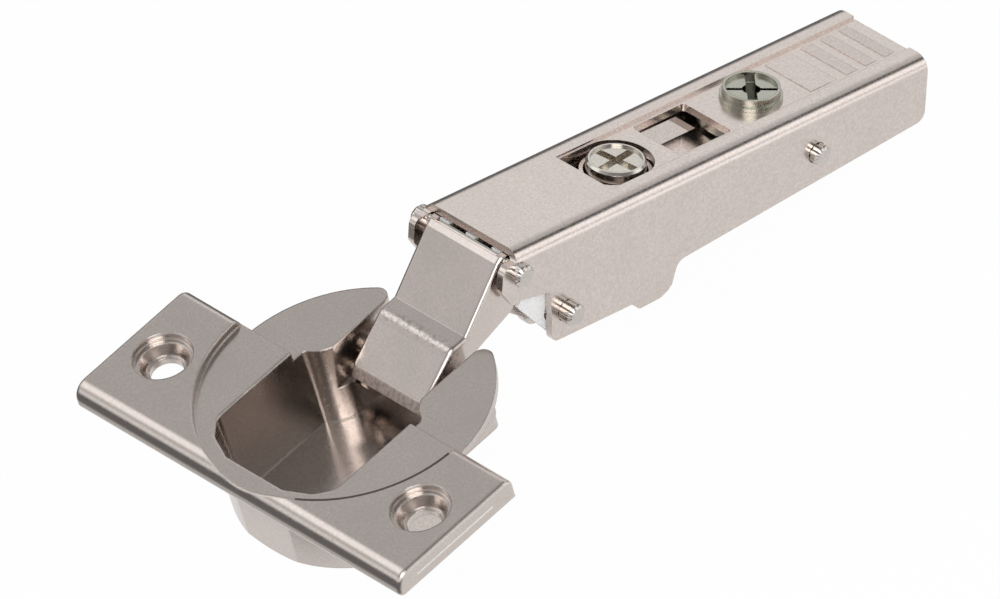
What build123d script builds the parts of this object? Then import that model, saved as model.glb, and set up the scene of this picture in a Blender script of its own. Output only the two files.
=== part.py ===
from build123d import *
import os
from math import cos, hypot, pi, radians, sin

os.makedirs("parts", exist_ok=True)

# Frame: origin on the cup axis in the door's face, +Z out of the door, +X from the cup to the arm
# Rest: the hinge stands fully open, with the arm sloping down by arm_slope from X

# Clearances
running = 0.05
sliding = 0.10
free_gap = 0.30

# Fixing plate of the cup
plate_thickness = 3.6
plate_length = 56.8
plate_front_x = -19.6
plate_rear_x = 0.6
plate_front_round = 2.1
plate_foot_round = 0.8
plate_rear_round = 1.6
plate_end_round = 0.6
screw_line_x = -9.5
screw_spacing = 45.0
screw_head_radius = 3.85
screw_wall_depth = 1.0
screw_seat_radius = 3.2
screw_hole_radius = 2.15
screw_hole_height = 1.0

# Step, flange disc and cup body
step_radius = 18.95
step_level = 2.4
disc_radius = 18.3
disc_level = 1.1
disc_corner_round = 1.5
cup_radius = 17.45
cup_front_x = -16.8
cup_depth = 11.5
cup_floor = 0.9
cup_foot_chamfer = 0.9
cup_draft = 0.01
hollow_draft = 4.0
box_wall = 0.9
box_rear_x = 14.6
box_rear_wall = 1.0
box_rear_top = -5.5

# Hollow of the cup
hollow_front_x = -16.3
hollow_half_front = 4.9
hollow_half_width = 10.5
slot_half_width = 7.75
hollow_rim_round = 0.35
step_edge_round = 0.2

# Four pivots, as X and Z at rest
link_cup_pivot = (8.22, -6.03)
inner_cup_pivot = (10.07, -3.41)
link_arm_pivot = (23.475, 7.147)
inner_arm_pivot = (28.675, -4.05)
arm_slope = 20.0

# Pins
link_pin_radius = 1.05
cup_pin_radius = 1.3
cup_pin_length = 26.6
upper_pin_radius = 1.1
upper_pin_head_radius = 1.55
upper_pin_stand = 1.35
lower_pin_radius = 1.5
lower_pin_stand = 2.0
pin_end_chamfer = 0.25

# Main link
link_sheet = 1.0
link_half_width = 6.35
link_fold_round = 0.6
link_eye_radius = 1.75

# Inner link, with the long eye in which the open pivot plays
inner_sheet = 1.0
inner_half_width = 4.6
inner_eye_radius = 1.8
open_eye_radius = 2.45
open_eye_travel = 1.62
open_eye_side_gap = 0.22
open_eye_centre = (27.86, -4.12)
open_eye_tilt = -9.3

# Arm, in its own frame: u along the arm, w out of its top
arm_half_width = 8.2
arm_sheet = 1.0
arm_fold_round = 2.0
arm_top = 17.7
arm_front_u = 19.3
arm_rear_u = 90.0
arm_foot = 2.15
strip_depth = 0.4
strip_half_width = 4.87
strip_front_u = 38.5
keyhole_half_width = 4.7
keyhole_corner_round = 3.4
window_front_u = 50.9
window_rear_u = 59.85
window_half_width = 4.2
window_round = 0.6
grip_half_width = 4.0
grip_depth = 0.3
grip_spans = [(73.75, 78.2), (79.9, 81.85), (83.2, 85.1), (86.5, 88.2)]
spring_tab_half_width = 4.6

# Side adjusting screw and the threaded bar that holds it
side_screw_u = 44.1
side_screw_radius = 3.8
side_screw_top = 17.6
side_screw_dish_radius = 3.25
side_screw_dish = 0.3
side_screw_neck_radius = 1.9
side_foot_radius = 3.1
side_foot_height = 1.1
bar_neck_radius = 4.55
bar_neck_top = 16.0
bar_top = 14.9
bar_bottom = 13.3
bar_half_length = 2.6
bar_thread_gap = 0.25
cross_arm_width = 1.1
cross_reach = 2.9
cross_depth = 1.7
cross_turn = 6.0

# Depth adjusting cam with its spiral groove
cam_u = 67.3
cam_head_radius = 3.95
cam_rim_radius = 3.62
cam_head_top = 18.8
cam_collar_height = 0.5
cam_dish_radius = 3.25
cam_dish = 0.45
cam_slot_depth = 1.0
cam_wide_slot = 1.2
cam_thin_slot = 0.55
cam_core_radius = 1.15
cam_slot_turn = 49.5
cam_shank_radius = 2.9
cam_disc_radius = 6.8
cam_disc_top = 16.2
cam_disc_bottom = 14.7
cam_groove_radius = 2.9
cam_rise_per_turn = 5.0
cam_groove_depth = 0.95
peg_radius = 0.55
groove_side_gap = 0.22
depth_forward = 2.0
depth_back = 3.0

# Carriage, a folded channel that slides in the arm
carriage_sheet = 1.0
carriage_half_width = arm_half_width - arm_sheet - sliding
carriage_top = 14.2
carriage_step_top = 10.4
carriage_step_u = side_screw_u + bar_neck_radius + depth_forward + free_gap
carriage_front_u = 38.9
carriage_rear_u = 80.5
carriage_web_rear_u = 76.0
web_notch_y = 2.6
web_notch_rear_u = 60.5

# Guide pin at the rear
guide_u = 71.0
guide_w = 11.6
guide_pin_radius = 1.35
guide_pin_stand = 1.3

# Release lever and its leg spring
lever_u = 76.9
lever_w = 10.9
lever_pin_radius = 1.0
lever_sheet = 1.0
lever_half_width = carriage_half_width - carriage_sheet - sliding
leg_spring_radius = 1.75
leg_spring_wire = 0.5
leg_spring_turns = 4

# Closing springs and the slider that they push
slider_half_width = arm_half_width - arm_sheet - sliding
slider_travel = 1.2
slider_rear_u = 31.0
rib_places = [-4.5, 0.0, 4.5]
rib_width = 1.5
spring_radius = 1.85
spring_wire = 0.55
spring_offset = 2.35
spring_level = 14.1
spring_turns = 6.5
spring_pocket_depth = 4.6

ARM = Rot(0, arm_slope, 0)


def to_arm(point):
    """Turn a point X, Z at rest into u, w of the arm's frame."""
    a = radians(arm_slope)
    x, z = point
    return x * cos(a) - z * sin(a), x * sin(a) + z * cos(a)


def side_face(line, y):
    """Face of a closed outline drawn in X and Z, lying at y and facing -Y."""
    plane = Plane(origin=(0, y, 0), x_dir=(1, 0, 0), z_dir=(0, -1, 0))
    return plane * make_face(line)


def side_plate(line, y_low, y_high):
    """Plate of an outline drawn in X and Z, from y_low to y_high."""
    return extrude(side_face(line, y_high), y_high - y_low)


def rounded(corners):
    """Closed outline from corners given as (x, y, radius)."""
    return FilletPolyline(*[(x, y) for x, y, r in corners], radius=[r for x, y, r in corners], close=True)


def block(x_low, x_high, y_low, y_high, z_low, z_high):
    """Box between two corners."""
    size = (x_high - x_low, y_high - y_low, z_high - z_low)
    centre = ((x_low + x_high) / 2, (y_low + y_high) / 2, (z_low + z_high) / 2)
    return Pos(*centre) * Box(*size)


def rod(x, z, radius, y_low, y_high, chamfer_size=0.0):
    """Round rod along Y, with chamfered ends if a size is given."""
    body = Pos(x, (y_low + y_high) / 2, z) * Rot(90, 0, 0) * Cylinder(radius, y_high - y_low)
    if chamfer_size:
        body = chamfer(body.edges().filter_by(GeomType.CIRCLE), chamfer_size)
    return body


def upright(x, y, radius, z_low, z_high):
    """Round rod along Z."""
    return Pos(x, y, (z_low + z_high) / 2) * Cylinder(radius, z_high - z_low)


def hollow_line(grow):
    """Plan outline of the hollow, with its S-shaped neck to the link slot, grown by a margin."""
    front = hollow_front_x - grow
    wide = hollow_half_width + grow
    narrow = slot_half_width + grow
    rear = box_rear_x - box_rear_wall + grow
    half = [
        (front, hollow_half_front + grow * 0.4, 1.0),
        (front + 1.6, 8.6 + grow * 0.8, 2.5),
        (-12.4, wide, 2.0),
        (2.6 + grow * 0.3, wide, 1.2),
        (4.2 + grow * 0.3, narrow, 3.2),
        (rear, narrow, 0.6),
    ]
    mirrored = [(x, -y, r) for x, y, r in reversed(half)]
    return rounded(half + mirrored)


def make_plate():
    """Fixing plate with its bullnose, its stepped round seat and its two countersunk holes."""
    corners = [
        (plate_front_x, 0, plate_foot_round),
        (plate_rear_x, 0, 0),
        (plate_rear_x, plate_thickness, plate_rear_round),
        (plate_front_x, plate_thickness, plate_front_round),
    ]
    plate = side_plate(rounded(corners), -plate_length / 2, plate_length / 2)
    ends = plate.faces().sort_by(Axis.Y)
    plate = fillet(ends[0].edges() + ends[-1].edges(), plate_end_round)
    plate -= upright(0, 0, step_radius, step_level, plate_thickness + 1)
    wall = [e for e in plate.edges() if all(abs(hypot((e @ q).X, (e @ q).Y) - step_radius) < 0.01 for q in (0, 0.5, 1))]
    plate = fillet([e for e in wall if (e @ 0.5).Z > step_level + 0.1], step_edge_round)
    for side in (-1, 1):
        y = side * screw_spacing / 2
        plate -= upright(screw_line_x, y, screw_head_radius, plate_thickness - screw_wall_depth, plate_thickness)
        cone_height = plate_thickness - screw_wall_depth - screw_hole_height
        cone = Cone(screw_hole_radius + 0.35, screw_seat_radius, cone_height)
        plate -= Pos(screw_line_x, y, screw_hole_height + cone_height / 2) * cone
        plate -= upright(screw_line_x, y, screw_hole_radius, 0, screw_hole_height + 0.1)
    return plate


def body_profile():
    """Half section of the drafted cup body, in radius and height."""
    foot_radius = cup_radius - cup_depth * cup_draft
    return make_face(Plane.XZ * Polyline(
        (0, 0),
        (cup_radius, 0),
        (foot_radius, -cup_depth + cup_foot_chamfer),
        (foot_radius - cup_foot_chamfer, -cup_depth),
        (0, -cup_depth),
        close=True,
    ))


def hollow_rim(cup):
    """Top edges of the hollow that lie on the seat of the plate."""
    level = [e for e in cup.edges() if all(abs((e @ q).Z - step_level) < 0.01 for q in (0, 1))]
    near = [e for e in level if abs((e @ 0.5).Y) < hollow_half_width + 1]
    return [e for e in near if hollow_front_x - 0.5 < (e @ 0.5).X < plate_rear_x - 0.01]


def make_cup():
    """Die-cast cup: plate, flange disc, drafted body, link slot and pin bores in one piece."""
    disc = upright(0, 0, disc_radius, 0, disc_level)
    disc &= block(0, disc_radius, -disc_radius, disc_radius, 0, disc_level)
    disc -= block(box_rear_x - box_rear_wall, disc_radius, -slot_half_width, slot_half_width, 0, disc_level)
    disc = fillet(disc.edges().filter_by(Axis.Z).sort_by(Axis.X)[-2:], disc_corner_round)
    box_half = slot_half_width + box_wall
    half = [(cup_front_x, cup_radius + 1, 0), (2.0, cup_radius + 1, 0), (6.4, box_half, 1.5), (box_rear_x, box_half, 1.2)]
    mirrored = [(x, -y, r) for x, y, r in reversed(half)]
    plan = Pos(0, 0, -cup_depth) * make_face(rounded(half + mirrored))
    body = revolve(body_profile(), Axis.Z) & extrude(plan, cup_depth)
    cup = make_plate() + disc + body

    rim = Pos(0, 0, plate_thickness) * make_face(hollow_line(0.0))
    cup -= extrude(rim, -(plate_thickness + cup_depth - cup_floor), taper=hollow_draft)
    cup -= block(3.0, disc_radius + 1, -slot_half_width, slot_half_width, box_rear_top, plate_thickness)
    for x, z, radius in ((*link_cup_pivot, link_pin_radius), (*inner_cup_pivot, cup_pin_radius)):
        cup -= rod(x, z, radius, -cup_radius, cup_radius)
    return fillet(hollow_rim(cup), hollow_rim_round)


def on_line(line, point):
    """Whether a point, seen along Y, lies on a line drawn in X and Z."""
    return line.distance_to(Vector(point.X, 0, point.Z)) < 0.01


def folded_link(outline, web_points, web_rounds, half_width, sheet, fold_round):
    """U-shaped link: two flanges of one side outline, joined by a sheet web along its top."""
    solid = side_plate(rounded(outline), -half_width, half_width)
    inner = half_width - sheet
    web_line = FilletPolyline(*web_points, radius=web_rounds)
    top_line = Plane.XZ * web_line
    sides = [e for e in solid.edges() if abs(abs(e.center().Y) - half_width) < 0.01]
    folds = [e for e in sides if all(on_line(top_line, e @ place) for place in (0, 0.5, 1))]
    solid = fillet(folds, fold_round)
    strip = offset(web_line, amount=sheet, side=Side.RIGHT)
    core = block(-10, 40, -inner, inner, -20, 20)
    return solid - core + side_plate(strip, -inner, inner)


def make_main_link():
    """Stamped main link: cranked top, flanges hooked down round the cup's long pin to their own eye."""
    ax, az = link_cup_pivot
    top = [(5.2, -3.3), (6.1, -1.9), (12.1, 2.45), (14.6, 2.45), (22.0, 8.71), (22.8, 9.14)]
    top_rounds = [0.8, 1.6, 0, 0]
    outline = [
        (*top[0], 0.3),
        (*top[1], top_rounds[0]),
        (*top[2], top_rounds[1]),
        (*top[3], top_rounds[2]),
        (*top[4], top_rounds[3]),
        (*top[5], 0),
        (25.1, 8.75, 1.7),
        (25.6, 5.6, 1.6),
        (22.6, 0.7, 1.6),
        (16.4, -0.5, 3.0),
        (12.4, -1.6, 1.5),
        (ax + 0.15, -1.75, 1.0),
        (ax + 0.3, az + 1.6, 0.3),
        (ax + 0.3, az, 0),
        (ax - link_eye_radius, az, 0),
        (ax - link_eye_radius, az + 1.2, 0.3),
    ]
    link = folded_link(outline, top, top_rounds, link_half_width, link_sheet, link_fold_round)
    inner = link_half_width - link_sheet
    for y_low, y_high in ((-link_half_width, -inner), (inner, link_half_width)):
        link += rod(ax, az, link_eye_radius, y_low, y_high)
    for x, z, radius in ((*link_cup_pivot, link_pin_radius), (*link_arm_pivot, upper_pin_radius)):
        link -= rod(x, z, radius + running, -arm_half_width, arm_half_width)
    return link


def open_eye(radius, y_low, y_high):
    """Long round-ended eye along the path that the open pivot takes in the inner link."""
    x, z = open_eye_centre
    line = SlotCenterToCenter(open_eye_travel, 2 * radius, rotation=open_eye_tilt)
    plane = Plane(origin=(x, y_high, z), x_dir=(1, 0, 0), z_dir=(0, -1, 0))
    return extrude(plane * line, y_high - y_low)


def make_inner_link():
    """Inner link: cranked over the door's edge, with a round eye in the cup and a long one in the arm."""
    bx, bz = inner_cup_pivot
    px, pz = open_eye_centre
    top = [(11.0, -1.75), (12.6, 0.35), (14.8, 0.8), (20.3, 4.7), (26.0, -0.5)]
    top_rounds = [1.0, 2.5, 2.6]
    outline = [
        (bx - 0.3, bz + inner_eye_radius, 0),
        (*top[0], 0),
        (*top[1], top_rounds[0]),
        (*top[2], top_rounds[1]),
        (*top[3], top_rounds[2]),
        (*top[4], 0),
        (px, pz + open_eye_radius, 0),
        (px, pz - open_eye_radius, 0),
        (px - 1.2, pz - open_eye_radius, 1.5),
        (21.4, 0.45, 1.6),
        (17.0, 0.45, 2.2),
        (13.6, -4.3, 1.5),
        (bx + 0.8, bz - inner_eye_radius + 0.05, 0.5),
        (bx - 0.3, bz - inner_eye_radius + 0.02, 0),
    ]
    link = folded_link(outline, top, top_rounds, inner_half_width, inner_sheet, link_fold_round)
    inner = inner_half_width - inner_sheet
    for y_low, y_high in ((-inner_half_width, -inner), (inner, inner_half_width)):
        link += rod(bx, bz, inner_eye_radius, y_low, y_high)
        link += open_eye(open_eye_radius, y_low, y_high)
    link -= rod(bx, bz, cup_pin_radius + running, -arm_half_width, arm_half_width)
    link -= open_eye(lower_pin_radius + open_eye_side_gap, -arm_half_width, arm_half_width)
    return link


def make_cross_pin(place, radius, half_length):
    """Plain pin along Y with chamfered ends."""
    return rod(*place, radius, -half_length, half_length, pin_end_chamfer)


def make_upper_arm_pin():
    """Riveted pin: shank through arm and link, a wider head formed on each outer side."""
    x, z = link_arm_pivot
    pin = rod(x, z, upper_pin_radius, -arm_half_width, arm_half_width)
    end = arm_half_width + upper_pin_stand
    for y_low, y_high in ((-end, -arm_half_width), (arm_half_width, end)):
        pin += rod(x, z, upper_pin_head_radius, y_low, y_high, pin_end_chamfer)
    return pin


def arm_outline():
    """Side outline of the arm: front lobe round the upper pin, notch, hook foot and long taper."""
    return [
        (arm_front_u, arm_top, 0),
        (arm_front_u, 16.25, 0.4),
        (16.85, 16.25, 1.2),
        (16.85, 12.9, 1.0),
        (18.9, 10.3, 0.5),
        (20.2, 10.6, 0.4),
        (25.4, 9.75, 0.7),
        (26.1, arm_foot, 1.2),
        (46.6, arm_foot, 0.4),
        (47.5, 5.35, 1.6),
        (89.9, 8.95, 1.4),
        (arm_rear_u, arm_top, 0),
    ]


def make_arm():
    """Folded sheet arm: channel, recessed strip, keyhole, window, grip ramps and spring tab."""
    length = arm_rear_u - 15
    middle = 15 + length / 2
    outer = Pos(middle, 0, arm_top / 2) * Box(length, 2 * arm_half_width, arm_top)
    outer = fillet(outer.edges().filter_by(Axis.X).sort_by(Axis.Z)[-2:], arm_fold_round)
    inner_half = arm_half_width - arm_sheet
    hollow = Pos(middle, 0, (arm_top - arm_sheet) / 2) * Box(length, 2 * inner_half, arm_top - arm_sheet)
    hollow = fillet(hollow.edges().filter_by(Axis.X).sort_by(Axis.Z)[-2:], arm_fold_round - arm_sheet)
    arm = (outer - hollow) & side_plate(rounded(arm_outline()), -arm_half_width, arm_half_width)

    strip_top = arm_top - strip_depth
    strip_foot = strip_top - arm_sheet
    arm += block(strip_front_u, arm_rear_u, -strip_half_width, strip_half_width, strip_foot, strip_top)
    arm -= block(strip_front_u, arm_rear_u + 1, -strip_half_width, strip_half_width, strip_top, arm_top + 1)

    keyhole = rounded([
        (strip_front_u, keyhole_half_width, 0.2),
        (strip_front_u, -keyhole_half_width, keyhole_corner_round),
        (side_screw_u + keyhole_half_width, -keyhole_half_width, keyhole_half_width - 0.05),
        (side_screw_u + keyhole_half_width, keyhole_half_width, keyhole_half_width - 0.05),
    ])
    window = rounded([
        (window_front_u, window_half_width, window_round),
        (window_front_u, -window_half_width, window_round),
        (window_rear_u, -window_half_width, window_round),
        (window_rear_u, window_half_width, window_round),
    ])
    for line in (keyhole, window):
        arm -= extrude(Pos(0, 0, strip_foot - 1) * make_face(line), 4)
    arm -= upright(cam_u, 0, cam_shank_radius + running, strip_foot - 1, arm_top + 1)
    for u_low, u_high in grip_spans:
        ramp = Polyline((u_low, strip_top), (u_high, strip_top), (u_high, strip_top - grip_depth), close=True)
        arm -= side_plate(ramp, -grip_half_width, grip_half_width)
    arm += block(
        strip_front_u - arm_sheet, strip_front_u,
        -spring_tab_half_width, spring_tab_half_width,
        spring_level - spring_radius - spring_wire / 2, arm_top - arm_sheet,
    )
    for place, radius in ((link_arm_pivot, upper_pin_radius), (inner_arm_pivot, lower_pin_radius)):
        arm -= rod(*to_arm(place), radius, -arm_half_width, arm_half_width)
    arm -= rod(guide_u, guide_w, guide_pin_radius + running, -arm_half_width, arm_half_width)
    return ARM * arm


def make_slider():
    """Moulded slider: bridge with two spring pockets, three ribs over the link's end, two cheeks."""
    pu, pw = to_arm(inner_arm_pivot)
    half = slider_half_width
    top = arm_top - arm_sheet - sliding
    slider = block(22.6, slider_rear_u, -half, half, 11.9, top)
    slider = chamfer(slider.edges().filter_by(Axis.X).sort_by(Axis.Z)[-2:], arm_fold_round - arm_sheet)
    cheek = rounded([
        (20.9, 8.7, 0.4), (26.9, 2.6, 0.8), (slider_rear_u, 2.6, 0.5), (slider_rear_u, 12.5, 0), (22.6, 12.5, 0),
    ])
    for y_low, y_high in ((-half, -half + 0.6), (half - 0.6, half)):
        slider += side_plate(cheek, y_low, y_high)
    for y_low, y_high in ((-half, -half + 1.9), (half - 1.9, half)):
        slider += block(25.4, slider_rear_u, y_low, y_high, 4.2, 12.5)
    for y in rib_places:
        slider += block(19.2, 23.0, y - rib_width / 2, y + rib_width / 2, 15.95, 16.5)
    for y in (-spring_offset, spring_offset):
        pocket = Pos(slider_rear_u - spring_pocket_depth / 2, y, spring_level) * Rot(0, 90, 0)
        slider -= pocket * Cylinder(spring_radius + spring_wire / 2 + sliding, spring_pocket_depth)
    slot = Pos(pu - slider_travel / 2, 0, pw) * Rot(90, 0, 0)
    slider -= extrude(slot * SlotCenterToCenter(slider_travel, 2 * (lower_pin_radius + sliding)), 2 * half, both=True)
    return ARM * slider


def coil(radius, wire, length, turns):
    """Compression spring along Z from 0, with its wire's ends cut square to the helix."""
    rise = length - wire
    path = Helix(pitch=rise / turns, height=rise, radius=radius)
    section = Plane(origin=path @ 0, z_dir=path % 0) * Circle(wire / 2)
    return Pos(0, 0, wire / 2) * sweep(section, path=path)


def make_closing_spring(side):
    """Coil spring from its slider pocket to the arm's bent tab."""
    front = slider_rear_u - spring_pocket_depth + 0.05
    length = strip_front_u - arm_sheet - front - 0.05
    place = Pos(front, side * spring_offset, spring_level) * Rot(0, 90, 0)
    return ARM * place * coil(spring_radius, spring_wire, length, spring_turns)


def cross_cut(width, reach, turn):
    """Two crossed slots of one width, turned from the arm's length."""
    return Rot(0, 0, turn) * (Rectangle(2 * reach, width) + Rectangle(width, 2 * reach))


def make_side_screw():
    """Side adjusting screw: dished head with a cross recess, body, neck and foot disc."""
    shoulder = carriage_step_top + sliding
    foot_top = carriage_step_top - carriage_sheet - sliding
    screw = upright(0, 0, side_screw_radius, shoulder, side_screw_top)
    screw = chamfer(screw.edges().filter_by(GeomType.CIRCLE), 0.3)
    screw -= upright(0, 0, side_screw_dish_radius, side_screw_top - side_screw_dish, side_screw_top)
    screw += upright(0, 0, side_screw_neck_radius, foot_top - side_foot_height, shoulder + 0.5)
    screw += upright(0, 0, side_foot_radius, foot_top - side_foot_height, foot_top)
    recess = Pos(0, 0, side_screw_top - cross_depth) * cross_cut(cross_arm_width, cross_reach, cross_turn)
    screw -= extrude(recess, cross_depth)
    return ARM * Pos(side_screw_u, 0, 0) * screw


def make_side_screw_bar():
    """Cross bar between the arm's flanges, with the threaded round neck that holds the side screw."""
    span = arm_half_width - arm_sheet
    bar = block(-bar_half_length, bar_half_length, -span, span, bar_bottom, bar_top)
    bar += upright(0, 0, bar_neck_radius, bar_bottom, bar_neck_top)
    bar -= upright(0, 0, side_screw_radius + bar_thread_gap, bar_bottom, bar_neck_top)
    return ARM * Pos(side_screw_u, 0, 0) * bar


def spiral_points(shift):
    """Points of the groove's edge, in the cam's own frame: its radius grows with the turn back."""
    first = -depth_forward / cam_rise_per_turn * 2 * pi
    last = depth_back / cam_rise_per_turn * 2 * pi
    count = 16
    points = []
    for i in range(count + 1):
        turn = first + (last - first) * i / count
        radius = cam_groove_radius + cam_rise_per_turn * turn / (2 * pi) + shift
        points.append((radius * cos(-turn), radius * sin(-turn)))
    return points


def make_cam():
    """Depth cam: slotted head above the arm's top, shank through it, disc with a spiral groove below."""
    strip_top = arm_top - strip_depth
    collar_top = strip_top + cam_collar_height
    cam = upright(0, 0, cam_head_radius, strip_top, collar_top)
    cam += upright(0, 0, cam_rim_radius, collar_top, cam_head_top)
    cam -= upright(0, 0, cam_dish_radius, cam_head_top - cam_dish, cam_head_top)
    slot_floor = cam_head_top - cam_dish - cam_slot_depth
    cuts = Rot(0, 0, cam_slot_turn) * Rectangle(2 * cam_dish_radius, cam_wide_slot)
    cuts += Rot(0, 0, cam_slot_turn + 90) * Rectangle(2 * cam_dish_radius, cam_thin_slot)
    cuts += Circle(cam_core_radius)
    cam -= extrude(Pos(0, 0, slot_floor) * cuts, cam_slot_depth)
    cam += upright(0, 0, cam_shank_radius, cam_disc_bottom, strip_top)
    cam += upright(0, 0, cam_disc_radius, cam_disc_bottom, cam_disc_top)

    edge = peg_radius + groove_side_gap
    outer = Spline(*spiral_points(edge))
    inner = Spline(*spiral_points(-edge))
    starts = Line(inner @ 0, outer @ 0)
    ends = Line(outer @ 1, inner @ 1)
    groove = make_face(Pos(0, 0, cam_disc_bottom) * (outer + ends + inner + starts))
    cam -= extrude(groove, cam_groove_depth)
    for shift in (-depth_forward, depth_back):
        turn = -shift / cam_rise_per_turn * 2 * pi
        radius = cam_groove_radius + shift
        x, y = radius * cos(turn), radius * sin(turn)
        cam -= upright(x, y, edge, cam_disc_bottom, cam_disc_bottom + cam_groove_depth)
    return ARM * Pos(cam_u, 0, 0) * cam


def make_carriage():
    """Folded carriage: stepped web, flanges with front hooks, screw slot, guide slots and cam peg."""
    outline = rounded([
        (41.3, 0.9, 0.3), (42.3, 0.0, 0.6), (45.9, 0.15, 1.2), (47.5, 0.9, 0.8), (48.0, 3.6, 1.0), (51.0, 6.6, 2.0),
        (77.0, 8.7, 4.0), (carriage_rear_u, 9.3, 0.8), (carriage_rear_u, carriage_top, 1.0),
        (carriage_step_u, carriage_top, 1.0), (carriage_step_u, carriage_step_top, 0.3),
        (carriage_front_u, carriage_step_top, 0.5), (carriage_front_u, 5.5, 1.0), (41.3, 3.6, 1.0),
    ])
    half = carriage_half_width
    inner = half - carriage_sheet
    carriage = side_plate(outline, -half, half)
    carriage -= block(carriage_front_u - 5, carriage_rear_u + 5, -inner, inner, -5, 30)
    carriage += block(carriage_front_u, carriage_step_u + carriage_sheet, -inner, inner,
                      carriage_step_top - carriage_sheet, carriage_step_top)
    carriage += block(carriage_step_u, carriage_step_u + carriage_sheet, -inner, inner,
                      carriage_step_top - carriage_sheet, carriage_top)
    carriage += block(carriage_step_u, carriage_web_rear_u, -inner, inner,
                      carriage_top - carriage_sheet, carriage_top)
    carriage -= block(carriage_step_u + carriage_sheet + 0.5, web_notch_rear_u, web_notch_y, inner,
                      carriage_top - carriage_sheet, carriage_top)
    hook_gap = rounded([(38.0, 1.3, 0), (46.2, 1.3, 1.0), (46.2, 3.4, 1.0), (38.0, 3.4, 0)])
    carriage -= side_plate(hook_gap, -half, half)

    neck = side_screw_neck_radius + sliding
    rear = side_screw_u + depth_forward
    slot = block(carriage_front_u - 1, rear, -neck, neck, carriage_step_top - carriage_sheet, carriage_step_top)
    slot += upright(rear, 0, neck, carriage_step_top - carriage_sheet, carriage_step_top)
    carriage -= slot

    travel = depth_forward + depth_back
    place = Pos(guide_u + (depth_forward - depth_back) / 2, 0, guide_w) * Rot(90, 0, 0)
    guide = SlotCenterToCenter(travel, 2 * (guide_pin_radius + running))
    carriage -= extrude(place * guide, half, both=True)
    carriage -= rod(lever_u, lever_w, lever_pin_radius, -half, half)
    peg_top = cam_disc_bottom + cam_groove_depth - free_gap
    carriage += upright(cam_u + cam_groove_radius, 0, peg_radius, carriage_top - carriage_sheet, peg_top)
    return ARM * carriage


def make_lever():
    """Release lever: folded channel with its latch nose below and its finger tail behind."""
    outline = rounded([
        (lever_u - 1.9, lever_w - 1.4, 1.2), (lever_u - 1.9, lever_w + 1.7, 1.5), (lever_u + 1.9, lever_w + 1.7, 1.2),
        (81.0, 11.0, 2.0), (88.4, 11.7, 0.4), (88.4, 9.9, 0.8), (83.5, 9.3, 1.0),
        (82.2, 6.9, 0.5), (81.2, 6.4, 0.4), (78.9, 6.3, 0.5), (78.3, 8.6, 0.8),
    ])
    half = lever_half_width
    inner = half - lever_sheet
    lever = side_plate(outline, -half, half)
    lever -= Pos(0, 0, lever_sheet) * side_plate(outline, -inner, inner)
    coil_reach = leg_spring_radius + leg_spring_wire + free_gap
    lever -= block(lever_u - coil_reach, lever_u + coil_reach, -inner, inner, 0, 20)
    lever -= rod(lever_u, lever_w, lever_pin_radius + running, -half, half)
    return ARM * lever


def make_leg_spring():
    """Leg spring of the release lever, wound round its pin."""
    length = leg_spring_turns * (leg_spring_wire + 0.12) + leg_spring_wire
    place = Pos(lever_u, length / 2, lever_w) * Rot(90, 0, 0)
    return ARM * place * coil(leg_spring_radius, leg_spring_wire, length, leg_spring_turns)


def build_nodes():
    """Every piece of the hinge by its node name."""
    guide = ARM * make_cross_pin((guide_u, guide_w), guide_pin_radius, arm_half_width + guide_pin_stand)
    return {
        "hinge_cup": make_cup(),
        "cup_pin_outer": make_cross_pin(link_cup_pivot, link_pin_radius, slot_half_width + box_wall),
        "cup_pin_inner": make_cross_pin(inner_cup_pivot, cup_pin_radius, cup_pin_length / 2),
        "main_link": make_main_link(),
        "inner_link": make_inner_link(),
        "arm_channel": make_arm(),
        "upper_arm_pin": make_upper_arm_pin(),
        "lower_arm_pin": make_cross_pin(inner_arm_pivot, lower_pin_radius, arm_half_width + lower_pin_stand),
        "spring_slider": make_slider(),
        "closing_spring_left": make_closing_spring(1),
        "closing_spring_right": make_closing_spring(-1),
        "side_adjusting_screw": make_side_screw(),
        "side_screw_bar": make_side_screw_bar(),
        "depth_adjusting_cam": make_cam(),
        "carriage": make_carriage(),
        "rear_guide_pin": guide,
        "clip_lever": make_lever(),
        "clip_lever_pin": ARM * rod(lever_u, lever_w, lever_pin_radius, -carriage_half_width, carriage_half_width),
        "clip_lever_spring": make_leg_spring(),
    }


if __name__ == "__main__":
    for name, solid in build_nodes().items():
        export_step(solid, f"parts/{name}.step")
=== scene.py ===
import math

import bmesh
import bpy
from mathutils import Matrix, Vector


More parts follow.
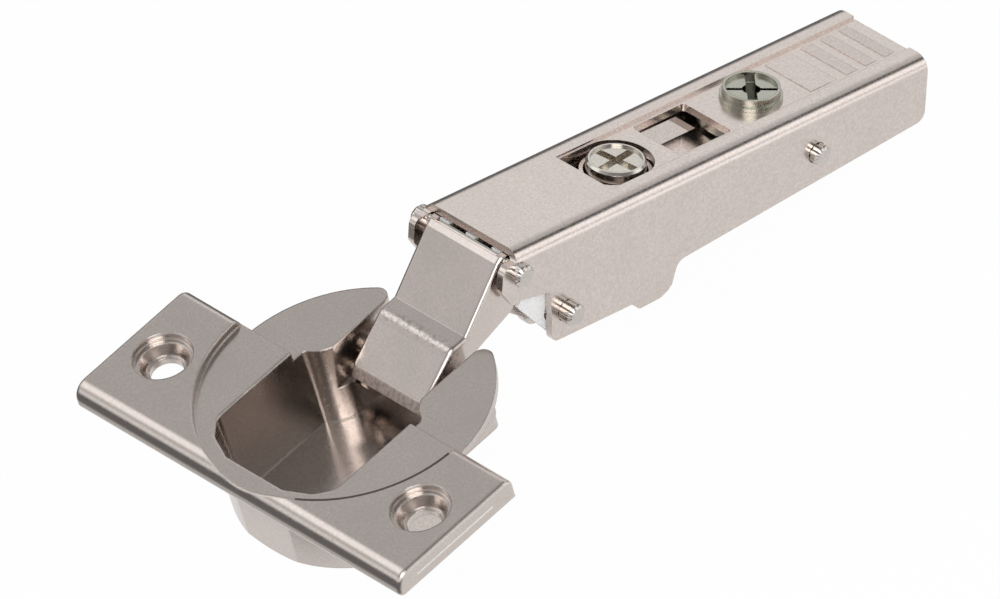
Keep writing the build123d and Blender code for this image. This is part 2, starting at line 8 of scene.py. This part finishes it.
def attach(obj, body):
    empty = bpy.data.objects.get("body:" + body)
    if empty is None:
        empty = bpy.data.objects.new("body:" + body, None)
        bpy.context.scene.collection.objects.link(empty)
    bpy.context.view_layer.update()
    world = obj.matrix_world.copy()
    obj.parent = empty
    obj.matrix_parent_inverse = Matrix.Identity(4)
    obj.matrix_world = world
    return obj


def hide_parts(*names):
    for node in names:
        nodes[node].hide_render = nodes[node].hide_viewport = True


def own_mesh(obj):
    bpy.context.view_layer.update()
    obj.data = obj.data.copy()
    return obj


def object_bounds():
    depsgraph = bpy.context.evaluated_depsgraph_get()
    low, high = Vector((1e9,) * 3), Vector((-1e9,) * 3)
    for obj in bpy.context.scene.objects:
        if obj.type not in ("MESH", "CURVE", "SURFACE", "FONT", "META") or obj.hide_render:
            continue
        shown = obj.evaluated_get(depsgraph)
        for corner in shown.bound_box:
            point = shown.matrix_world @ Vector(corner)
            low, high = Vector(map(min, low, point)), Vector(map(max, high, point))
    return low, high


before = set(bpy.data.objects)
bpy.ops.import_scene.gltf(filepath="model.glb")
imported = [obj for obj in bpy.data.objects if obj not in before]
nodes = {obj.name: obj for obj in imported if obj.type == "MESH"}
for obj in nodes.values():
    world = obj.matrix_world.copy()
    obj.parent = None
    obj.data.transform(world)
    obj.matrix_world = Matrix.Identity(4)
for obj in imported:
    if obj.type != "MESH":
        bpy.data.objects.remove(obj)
cad_low, cad_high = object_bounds()

MM = 0.001

# The arm's own frame: its slope, and places along it and out of its top in mm
ARM_SLOPE = math.radians(20.0)
ARM_HALF_WIDTH = 8.2
STRIP_TOP = 17.3
CAM_PLACE = 67.3
CAM_DISH_FLOOR = 18.35
CAM_DISH_RADIUS = 3.25

# Sizes of the metal's clouds and specks in mm
CLOUD_MM = 6.0
SPECKLE_MM = 0.35

# Along X in metres: where the main link's sheared edge ends, and where the grain of its bend rises and falls
LINK_SHEARED_FADE = (5.9 * MM, 6.2 * MM)
LINK_BEND_RISE = (11.0 * MM, 11.8 * MM)
LINK_BEND_FALL = (12.6 * MM, 13.4 * MM)

# The round step in the fixing plate: its radius in mm, and the angles its strip of painted shade runs between
# in degrees
STEP_RADIUS = 18.95
STEP_SHADE_ANGLES = (206, 267)

# Camera: the photograph's own view of the hinge in degrees and pixels, fitted for a camera that stands
# VIEW_DISTANCE metres away
IMAGE_WIDTH = 1000
IMAGE_HEIGHT = 599
PIXELS_PER_MM = 8.255
VIEW_TURN = 33.798
VIEW_ELEVATION = 44.805
VIEW_ROLL = 16.338
VIEW_DISTANCE = 3.2
SENSOR = 36.0
# The point between the cup's two screw holes, and the pixel where it lies
SCREW_MIDDLE = Vector((-9.5, 0.0, 3.6)) * MM
SCREW_MIDDLE_PIXEL = (290.60, 431.67)


def srgb(red, green, blue):
    """A colour given as 0 to 255 on screen, as the linear values that a shader takes."""
    out = []
    for channel in (red, green, blue):
        c = channel / 255
        out.append(c / 12.92 if c <= 0.04045 else ((c + 0.055) / 1.055) ** 2.4)
    return (*out, 1.0)


def make_camera():
    turn = math.radians(VIEW_TURN)
    tilt = math.radians(VIEW_ELEVATION)
    roll = math.radians(VIEW_ROLL)
    level = Vector((math.cos(turn), -math.sin(turn), 0))
    upward = Vector((math.sin(turn) * math.sin(tilt), math.cos(turn) * math.sin(tilt), math.cos(tilt)))
    back = level.cross(upward)
    right = math.cos(roll) * level - math.sin(roll) * upward
    above = math.sin(roll) * level + math.cos(roll) * upward
    across = (IMAGE_WIDTH / 2 - SCREW_MIDDLE_PIXEL[0]) / PIXELS_PER_MM * MM
    raised = (SCREW_MIDDLE_PIXEL[1] - IMAGE_HEIGHT / 2) / PIXELS_PER_MM * MM
    centre = SCREW_MIDDLE + across * right + raised * above
    camera = bpy.data.objects.new("camera", bpy.data.cameras.new("camera"))
    camera.data.sensor_width = SENSOR
    camera.data.lens = SENSOR * VIEW_DISTANCE / (IMAGE_WIDTH / PIXELS_PER_MM * MM)
    camera.data.clip_start = 0.1
    camera.data.clip_end = 10
    axes = Matrix((right, above, back)).transposed().to_4x4()
    camera.matrix_world = Matrix.Translation(centre + VIEW_DISTANCE * back) @ axes
    bpy.context.scene.collection.objects.link(camera)
    bpy.context.scene.camera = camera


# Materials


class Graph:
    """A material's node tree, built one node at a time."""

    def __init__(self, name):
        self.material = bpy.data.materials.new(name)
        self.material.use_nodes = True
        self.tree = self.material.node_tree
        self.shader = self.tree.nodes["Principled BSDF"]
        self.place = self.node("ShaderNodeTexCoord").outputs["Object"]

    def node(self, kind, inputs=None, **settings):
        made = self.tree.nodes.new(kind)
        for name, value in settings.items():
            setattr(made, name, value)
        for name, value in (inputs or {}).items():
            if isinstance(value, bpy.types.NodeSocket):
                self.tree.links.new(value, made.inputs[name])
            else:
                made.inputs[name].default_value = value
        return made

    def maths(self, operation, first, second):
        return self.node("ShaderNodeMath", {0: first, 1: second}, operation=operation).outputs[0]

    def along(self, x, y, z):
        """Distance along a direction."""
        inputs = {0: self.place, 1: (x, y, z)}
        return self.node("ShaderNodeVectorMath", inputs, operation="DOT_PRODUCT").outputs["Value"]

    def noise(self, size_mm, detail=3.0):
        inputs = {"Vector": self.place, "Scale": 1 / (size_mm * MM), "Detail": detail}
        return self.node("ShaderNodeTexNoise", inputs).outputs["Fac"]

    def ramp(self, value, low, high, start=0.3, stop=0.7):
        """Maps a noise's middle range to low and high."""
        inputs = {"Value": value, "From Min": start, "From Max": stop, "To Min": low, "To Max": high}
        return self.node("ShaderNodeMapRange", inputs).outputs["Result"]

    def mix(self, share, first, second):
        made = self.node("ShaderNodeMix", data_type="RGBA")
        for name, value in (("Factor", share), (6, first), (7, second)):
            socket = made.inputs[name]
            if isinstance(value, bpy.types.NodeSocket):
                self.tree.links.new(value, socket)
            else:
                socket.default_value = value
        return made.outputs[2]

    def cloudy(self, light, dark):
        """A colour that drifts between two, over spans of several millimetres."""
        return self.mix(self.ramp(self.noise(CLOUD_MM, 4.0), 0.0, 1.0), srgb(*light), srgb(*dark))

    def rounded(self, radius_mm):
        """The surface's normal with its edges rounded."""
        return self.node("ShaderNodeBevel", {"Radius": radius_mm * MM}, samples=4).outputs["Normal"]

    def bump(self, height, depth_mm, normal=None):
        inputs = {"Height": height, "Distance": depth_mm * MM, "Strength": 1.0}
        if normal is not None:
            inputs["Normal"] = normal
        return self.node("ShaderNodeBump", inputs).outputs["Normal"]

    def set(self, **values):
        for name, value in values.items():
            socket = self.shader.inputs[name.replace("_", " ")]
            if isinstance(value, bpy.types.NodeSocket):
                self.tree.links.new(value, socket)
            else:
                socket.default_value = value


def nickel(name, light, dark, roughness, grain_mm, grain_depth_mm, edge_mm, speckle=0.97):
    """Nickel plate: cloudy, speckled colour, fine grain, varied roughness, and edges rounded by the plating."""
    g = Graph(name)
    grain = g.noise(grain_mm, 2.0)
    specks = g.ramp(g.noise(SPECKLE_MM), 0.0, 1.0)
    g.set(
        Base_Color=g.mix(specks, g.cloudy(light, dark), srgb(*(c * speckle for c in dark))),
        Metallic=1.0,
        Roughness=g.ramp(grain, roughness - 0.04, roughness + 0.05),
        Normal=g.bump(grain, grain_depth_mm, g.rounded(edge_mm)),
    )
    return g.material


def link_nickel(name, light, dark, roughness):
    """Nickel plate on the main link: rough where the sheet was sheared off, and grainy where it was bent."""
    g = Graph(name)
    x = g.node("ShaderNodeSeparateXYZ", {0: g.place}).outputs["X"]
    sheared = g.ramp(x, 1.0, 0.0, *LINK_SHEARED_FADE)
    bent = g.maths("MULTIPLY", g.ramp(x, 0.0, 1.0, *LINK_BEND_RISE), g.ramp(x, 1.0, 0.0, *LINK_BEND_FALL))
    rough = g.maths("MAXIMUM", sheared, bent)
    pits = g.maths("MULTIPLY", rough, g.ramp(g.noise(0.45, 4.0), 0.0, 0.8, 0.42, 0.62))
    specks = g.maths("MAXIMUM", g.ramp(g.noise(SPECKLE_MM), 0.0, 0.25), pits)
    plain = g.bump(g.noise(0.10, 2.0), 0.0010, g.rounded(0.12))
    g.set(
        Base_Color=g.mix(specks, g.cloudy(light, dark), srgb(*(c * 0.80 for c in dark))),
        Metallic=1.0,
        Roughness=g.ramp(sheared, roughness, roughness + 0.16, 0.0, 1.0),
        Normal=g.bump(g.maths("MULTIPLY", rough, g.noise(0.22)), 0.032, plain),
    )
    return g.material


def cam_nickel(name, light, dark, recess_shade):
    """Greenish plate on the depth cam, with painted shade in the cross recess of its head."""
    g = Graph(name)
    u = g.along(math.cos(ARM_SLOPE), 0, -math.sin(ARM_SLOPE))
    y = g.along(0, 1, 0)
    w = g.along(math.sin(ARM_SLOPE), 0, math.cos(ARM_SLOPE))
    spot = g.node("ShaderNodeCombineXYZ", {0: g.maths("SUBTRACT", u, CAM_PLACE * MM), 1: y}).outputs[0]
    radius = g.node("ShaderNodeVectorMath", {0: spot}, operation="LENGTH").outputs["Value"]
    # Painted shade: the cross recess, inside the dish and below its floor, is coloured dark
    inside = g.ramp(radius, 1.0, 0.0, (CAM_DISH_RADIUS - 0.10) * MM, CAM_DISH_RADIUS * MM)
    below = g.ramp(w, 1.0, 0.0, (CAM_DISH_FLOOR - 0.12) * MM, (CAM_DISH_FLOOR - 0.04) * MM)
    grain = g.noise(0.15, 2.0)
    g.set(
        Base_Color=g.mix(g.maths("MULTIPLY", inside, below), g.cloudy(light, dark), srgb(*recess_shade)),
        Metallic=1.0,
        Roughness=g.ramp(grain, 0.22, 0.30),
        Normal=g.bump(grain, 0.0030, g.rounded(0.10)),
    )
    return g.material


def nylon(name, light, dark, roughness):
    g = Graph(name)
    clouds = g.noise(3.0)
    texture = g.noise(0.12)
    g.set(
        Base_Color=g.mix(g.ramp(clouds, 0.0, 1.0), srgb(*light), srgb(*dark)),
        Roughness=g.ramp(texture, roughness - 0.05, roughness + 0.05),
        Normal=g.bump(texture, 0.01),
        Subsurface_Weight=0.15,
        Subsurface_Radius=(0.8 * MM, 0.8 * MM, 0.8 * MM),
        Subsurface_Scale=1.0,
    )
    return g.material


def make_finishes():
    """Every material by its name."""
    return {
        "cast": nickel("cast_nickel", (214, 205, 198), (207, 197, 191), 0.20, 0.25, 0.0020, 0.40),
        "link": link_nickel("link_nickel", (218, 207, 201), (209, 199, 193), 0.22),
        "sheet": nickel("sheet_nickel", (224, 213, 207), (218, 207, 201), 0.22, 0.20, 0.0035, 0.08, 0.94),
        "pin": nickel("pin_nickel", (214, 208, 202), (200, 194, 188), 0.16, 0.10, 0.0008, 0.05),
        "screw": nickel("screw_nickel", (216, 211, 203), (202, 197, 189), 0.18, 0.12, 0.0010, 0.08),
        # The last colour is painted shade for the cam's cross recess
        "cam": cam_nickel("cam_nickel", (190, 189, 178), (176, 175, 164), (62, 60, 52)),
        # A real raised parting line; its lighter colour is a painted highlight
        "line": nickel("parting_line_painted_highlight", (247, 242, 236), (238, 232, 226), 0.30, 0.10, 0.0008, 0.02),
        # Painted shade: the dark colour of the strip along the round step's rim
        "step_shade": nickel("step_painted_shade", (112, 106, 100), (98, 92, 86), 0.35, 0.10, 0.0008, 0.02),
        "wire": nickel("spring_wire", (196, 194, 190), (180, 178, 174), 0.25, 0.10, 0.0010, 0.05),
        "plastic": nylon("white_nylon", (245, 245, 245), (238, 238, 238), 0.42),
    }


def dress_nodes(finishes):
    wearers = {
        "cast": ("hinge_cup",),
        "link": ("main_link",),
        "sheet": ("inner_link", "arm_channel", "side_screw_bar", "carriage", "clip_lever"),
        "pin": ("cup_pin_outer", "cup_pin_inner", "upper_arm_pin", "lower_arm_pin", "rear_guide_pin",
                "clip_lever_pin"),
        "screw": ("side_adjusting_screw",),
        "cam": ("depth_adjusting_cam",),
        "wire": ("closing_spring_left", "closing_spring_right", "clip_lever_spring"),
        "plastic": ("spring_slider",),
    }
    for finish, names in wearers.items():
        for name in names:
            mesh = nodes[name].data
            mesh.materials.clear()
            mesh.materials.append(finishes[finish])


# Fine parts that the frame leaves to the scene


def from_arm(u, y, w):
    """A point of the arm's own frame in mm, along u and out of its top w, as a place in metres."""
    x = u * math.cos(ARM_SLOPE) + w * math.sin(ARM_SLOPE)
    z = w * math.cos(ARM_SLOPE) - u * math.sin(ARM_SLOPE)
    return Vector((x, y, z)) * MM


def new_piece(name, build, material, body):
    """Mesh piece made by a function that fills a bmesh, riding on a body."""
    shape = bmesh.new()
    build(shape)
    bmesh.ops.recalc_face_normals(shape, faces=shape.faces)
    mesh = bpy.data.meshes.new(name)
    shape.to_mesh(mesh)
    shape.free()
    mesh.materials.append(material)
    piece = bpy.data.objects.new(name, mesh)
    bpy.context.scene.collection.objects.link(piece)
    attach(piece, body)
    return piece


def walls_between(shape, first, second):
    """Faces from one closed row of corners to the next."""
    count = len(first)
    for i in range(count):
        j = (i + 1) % count
        shape.faces.new((first[i], first[j], second[j], second[i]))


def close_between(shape, first, second):
    """Solid between two closed rows of corners."""
    shape.faces.new(first)
    shape.faces.new(second)
    walls_between(shape, first, second)


def add_fluted_pin(name, node, x, z, radius, stand, body, finishes):
    """Pin along Y whose ends, outside the arm, carry pressed flutes and a chamfer."""
    points = 120
    flutes = 8
    depth = 0.07 * radius
    end = ARM_HALF_WIDTH + stand
    # Place along the pin, radius there, and share of the flutes' depth
    sections = ((end, radius - 0.42, 0.3), (end - 0.25, radius - 0.12, 1.0), (end - 0.45, radius, 1.0),
                (ARM_HALF_WIDTH, radius, 1.0))
    halves = [(-y, r, share) for y, r, share in sections] + list(reversed(sections))

    def build(shape):
        rings = []
        for y, r, share in halves:
            ring = []
            for i in range(points):
                angle = 2 * math.pi * i / points
                wave = (0.5 - 0.5 * math.cos(flutes * angle)) ** 2
                reach = r - share * depth * wave
                place = Vector((x + reach * math.cos(angle), y, z + reach * math.sin(angle))) * MM
                ring.append(shape.verts.new(place))
            rings.append(ring)
        for first, second in zip(rings, rings[1:]):
            walls_between(shape, first, second)
        shape.faces.new(rings[0])
        shape.faces.new(rings[-1])

    piece = new_piece(name, build, finishes["pin"], body)
    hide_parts(node)


def add_grip_ramps(finishes):
    """Four shallow pressed ramps behind the cam, each with its step towards the front."""
    spans = ((73.75, 78.2), (79.9, 81.85), (83.2, 85.1), (86.5, 88.2))
    half = 4.0
    rise = 0.12
    rear_stand = 0.01
    sunk = 0.32

    def build(shape):
        for front, rear in spans:
            low = STRIP_TOP - sunk
            side = ((front, low), (rear, low), (rear, STRIP_TOP + rear_stand), (front, STRIP_TOP + rise))
            near = [shape.verts.new(from_arm(u, -half, w)) for u, w in side]
            far = [shape.verts.new(from_arm(u, half, w)) for u, w in side]
            close_between(shape, near, far)

    new_piece("grip_ramps", build, finishes["sheet"], "arm")


def add_parting_lines_painted_highlight(finishes):
    """Thin raised line of the casting's mould across each end face of the fixing plate, coloured lighter than
    the casting as a painted highlight.
    """
    height = 1.75
    # X of the two ends, half width, and distance from the hinge's middle, at the line's foot and at its crest
    foot_size = (-16.6, -3.2, 0.22, 28.36)
    crest_size = (-16.5, -3.3, 0.132, 28.44)

    def corners(shape, side, first, last, half, out):
        places = ((first, -half), (last, -half), (last, half), (first, half))
        return [shape.verts.new(Vector((x, side * out, height + z)) * MM) for x, z in places]

    def build(shape):
        for side in (-1, 1):
            close_between(shape, corners(shape, side, *foot_size), corners(shape, side, *crest_size))

    new_piece("parting_lines_painted_highlight", build, finishes["line"], "cup")


def add_step_painted_shade(finishes):
    """Dark strip along the rim of the round step: painted shade, standing in for the shade and dark reflection
    at its edge.
    """
    first, last = (math.radians(angle) for angle in STEP_SHADE_ANGLES)
    count = 60
    inner = STEP_RADIUS + 0.02
    outer = STEP_RADIUS + 0.34
    low = 3.4
    high = 3.612

    def build(shape):
        rows = []
        for i in range(count + 1):
            angle = first + (last - first) * i / count
            outward = Vector((math.cos(angle), math.sin(angle), 0))
            corners = ((inner, low), (inner, high), (outer, high), (outer, low))
            rows.append([shape.verts.new((radius * outward + Vector((0, 0, z))) * MM) for radius, z in corners])
        for first_row, second_row in zip(rows, rows[1:]):
            walls_between(shape, first_row, second_row)
        shape.faces.new(rows[0])
        shape.faces.new(rows[-1])

    new_piece("step_painted_shade", build, finishes["step_shade"], "cup")


def add_closing_coils():
    """Copies of the two closing springs, riding on the arm in place of the originals."""
    for name in ("closing_spring_left", "closing_spring_right"):
        piece = bpy.data.objects.new(name + "_coils", nodes[name].data.copy())
        bpy.context.scene.collection.objects.link(piece)
        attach(piece, "arm")
        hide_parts(name)
        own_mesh(piece)


def add_fine_parts(finishes):
    # Raised parting lines, coloured lighter as a painted highlight
    add_parting_lines_painted_highlight(finishes)
    # Strip of painted shade along the round step's rim
    add_step_painted_shade(finishes)
    add_fluted_pin("upper_pin_fluted", "upper_arm_pin", 23.475, 7.147, 1.55, 1.35, "arm", finishes)
    add_fluted_pin("lower_pin_fluted", "lower_arm_pin", 28.675, -4.05, 1.5, 2.0, "arm", finishes)
    guide = from_arm(71.0, 0, 11.6) / MM
    add_fluted_pin("guide_pin_fluted", "rear_guide_pin", guide.x, guide.z, 1.35, 1.3, "guide", finishes)
    add_grip_ramps(finishes)
    add_closing_coils()


# Room: a pale floor, a soft dome and one soft lamp

# The dome's brightness at heights from the horizon to the top
SKY_STOPS = ((0.0, 0.12), (0.06, 0.14), (0.15, 1.0), (0.36, 1.05), (0.50, 0.62), (0.80, 0.55), (1.0, 0.50))

# Soft patches of the dome: direction, cosines of the outer edge and of the full part, and brightness added
PATCHES = (
    ((0.72, -0.66, 0.16), 0.90, 0.96, 0.45),
    ((-0.22, 0.60, 0.77), 0.925, 0.985, 0.85),
    ((0.83, -0.29, 0.47), 0.975, 0.996, -0.60),
)


def shown_to_eye_and_gloss(tree):
    """1 for the camera's rays and for those that metal and glass reflect or pass, 0 for the light itself."""
    path = tree.nodes.new("ShaderNodeLightPath")
    total = path.outputs["Is Camera Ray"]
    for name in ("Is Glossy Ray", "Is Transmission Ray"):
        highest = tree.nodes.new("ShaderNodeMath")
        highest.operation = "MAXIMUM"
        tree.links.new(total, highest.inputs[0])
        tree.links.new(path.outputs[name], highest.inputs[1])
        total = highest.outputs[0]
    return total


class Field:
    """Brightness as a function of direction or place, built up one node at a time."""

    def __init__(self, tree, coordinates):
        self.tree = tree
        self.place = tree.nodes.new("ShaderNodeTexCoord").outputs[coordinates]
        parts = tree.nodes.new("ShaderNodeSeparateXYZ")
        tree.links.new(self.place, parts.inputs[0])
        self.x = parts.outputs["X"]
        self.y = parts.outputs["Y"]
        self.z = parts.outputs["Z"]

    def maths(self, operation, first, second):
        made = self.tree.nodes.new("ShaderNodeMath")
        made.operation = operation
        for socket, value in zip(made.inputs, (first, second)):
            if isinstance(value, bpy.types.NodeSocket):
                self.tree.links.new(value, socket)
            else:
                socket.default_value = value
        return made.outputs[0]

    def ease(self, value, start, stop, low, high):
        made = self.tree.nodes.new("ShaderNodeMapRange")
        made.interpolation_type = "SMOOTHSTEP"
        self.tree.links.new(value, made.inputs["Value"])
        for name, number in (("From Min", start), ("From Max", stop), ("To Min", low), ("To Max", high)):
            made.inputs[name].default_value = number
        return made.outputs["Result"]

    def glow(self, direction, start, stop, level):
        """Soft round patch of light, from the cosine of its outer edge to that of its full part."""
        towards = self.tree.nodes.new("ShaderNodeVectorMath")
        towards.operation = "DOT_PRODUCT"
        self.tree.links.new(self.place, towards.inputs[0])
        towards.inputs[1].default_value = Vector(direction).normalized()
        return self.ease(towards.outputs["Value"], start, stop, 0.0, level)


def make_world():
    world = bpy.data.worlds.new("room")
    bpy.context.scene.world = world
    world.use_nodes = True
    tree = world.node_tree
    sky = Field(tree, "Generated")
    ramp = tree.nodes.new("ShaderNodeValToRGB")
    tree.links.new(sky.z, ramp.inputs[0])
    for i, (height, level) in enumerate(SKY_STOPS):
        stop = ramp.color_ramp.elements[i] if i < 2 else ramp.color_ramp.elements.new(height)
        stop.position = height
        stop.color = (level, level, level, 1)
    # The dome is darker high up on the near side, and low down on the far side
    near_side = sky.ease(sky.y, 0.15, -0.35, 0.0, 1.0)
    high_part = sky.ease(sky.z, 0.42, 0.60, 0.0, 0.55)
    shade = sky.maths("SUBTRACT", 1.0, sky.maths("MULTIPLY", near_side, high_part))
    far_side = sky.ease(sky.y, 0.66, 0.78, 0.0, 0.88)
    low_part = sky.ease(sky.z, 0.36, 0.22, 0.0, 1.0)
    far_shade = sky.maths("SUBTRACT", 1.0, sky.maths("MULTIPLY", far_side, low_part))
    shade = sky.maths("MULTIPLY", shade, far_shade)
    level = sky.maths("MULTIPLY", ramp.outputs[0], shade)
    for patch in PATCHES:
        level = sky.maths("ADD", level, sky.glow(*patch))
    lamp = tree.nodes["Background"]
    tree.links.new(level, lamp.inputs["Strength"])
    lamp.inputs["Color"].default_value = (1, 1, 1, 1)
    white = tree.nodes.new("ShaderNodeBackground")
    white.inputs["Color"].default_value = (1, 1, 1, 1)
    path = tree.nodes.new("ShaderNodeLightPath")
    both = tree.nodes.new("ShaderNodeMixShader")
    tree.links.new(path.outputs["Is Camera Ray"], both.inputs[0])
    tree.links.new(lamp.outputs[0], both.inputs[1])
    tree.links.new(white.outputs[0], both.inputs[2])
    tree.links.new(both.outputs[0], tree.nodes["World Output"].inputs["Surface"])


def make_floor():
    half = 3.0
    mesh = bpy.data.meshes.new("floor")
    corners = [(-half, -half, 0), (half, -half, 0), (half, half, 0), (-half, half, 0)]
    mesh.from_pydata(corners, [], [(0, 1, 2, 3)])
    floor = bpy.data.objects.new("floor", mesh)
    floor.location.z = cad_low.z - 0.2 * MM
    bpy.context.scene.collection.objects.link(floor)
    material = bpy.data.materials.new("pale_floor")
    material.use_nodes = True
    tree = material.node_tree
    shader = tree.nodes["Principled BSDF"]
    shader.inputs["Base Color"].default_value = (0.9, 0.9, 0.9, 1)
    shader.inputs["Roughness"].default_value = 0.9
    # What metal sees of the floor: darker cards at the back and left, and a brighter one to the front
    cards = Field(tree, "Object")
    across = cards.maths("ADD", cards.y, cards.maths("MULTIPLY", cards.x, 0.5))
    back = cards.ease(across, 0.033, 0.062, 0.0, 1.0)
    left = cards.ease(cards.x, -0.025, -0.042, 0.0, 1.0)
    dark = cards.maths("MULTIPLY", cards.maths("MAXIMUM", back, left), 0.82)
    rightward = cards.maths("MULTIPLY", cards.x, 0.65)
    front = cards.maths("SUBTRACT", rightward, cards.maths("MULTIPLY", cards.y, 0.76))
    level = cards.maths("MULTIPLY", cards.maths("SUBTRACT", 1.0, dark), 0.90)
    level = cards.maths("ADD", level, cards.ease(front, 0.085, 0.125, 0.0, 0.5))
    path = tree.nodes.new("ShaderNodeLightPath")
    seen = cards.maths("ADD", path.outputs["Is Camera Ray"], path.outputs["Is Transmission Ray"])
    glow = tree.nodes.new("ShaderNodeEmission")
    tree.links.new(cards.maths("MAXIMUM", seen, level), glow.inputs["Strength"])
    share = tree.nodes.new("ShaderNodeMath")
    share.operation = "MULTIPLY"
    share.inputs[1].default_value = 0.975
    tree.links.new(shown_to_eye_and_gloss(tree), share.inputs[0])
    both = tree.nodes.new("ShaderNodeMixShader")
    tree.links.new(share.outputs[0], both.inputs[0])
    tree.links.new(shader.outputs[0], both.inputs[1])
    tree.links.new(glow.outputs[0], both.inputs[2])
    tree.links.new(both.outputs[0], tree.nodes["Material Output"].inputs["Surface"])
    mesh.materials.append(material)


def soft_lamp(name, place, aim, size, watts):
    data = bpy.data.lights.new(name, "AREA")
    data.shape = "SQUARE"
    data.size = size
    data.energy = watts
    lamp = bpy.data.objects.new(name, data)
    lamp.location = place
    lamp.rotation_mode = "QUATERNION"
    lamp.rotation_quaternion = (Vector(aim) - Vector(place)).to_track_quat("-Z", "Y")
    bpy.context.scene.collection.objects.link(lamp)


def make_lamps():
    middle = (cad_low + cad_high) / 2
    soft_lamp("key_lamp", (-0.28, -0.50, 0.50), middle, 0.50, 2.5)


make_camera()
finishes = make_finishes()
dress_nodes(finishes)
add_fine_parts(finishes)
make_world()
make_floor()
make_lamps()

bpy.context.scene.view_settings.view_transform = "Standard"
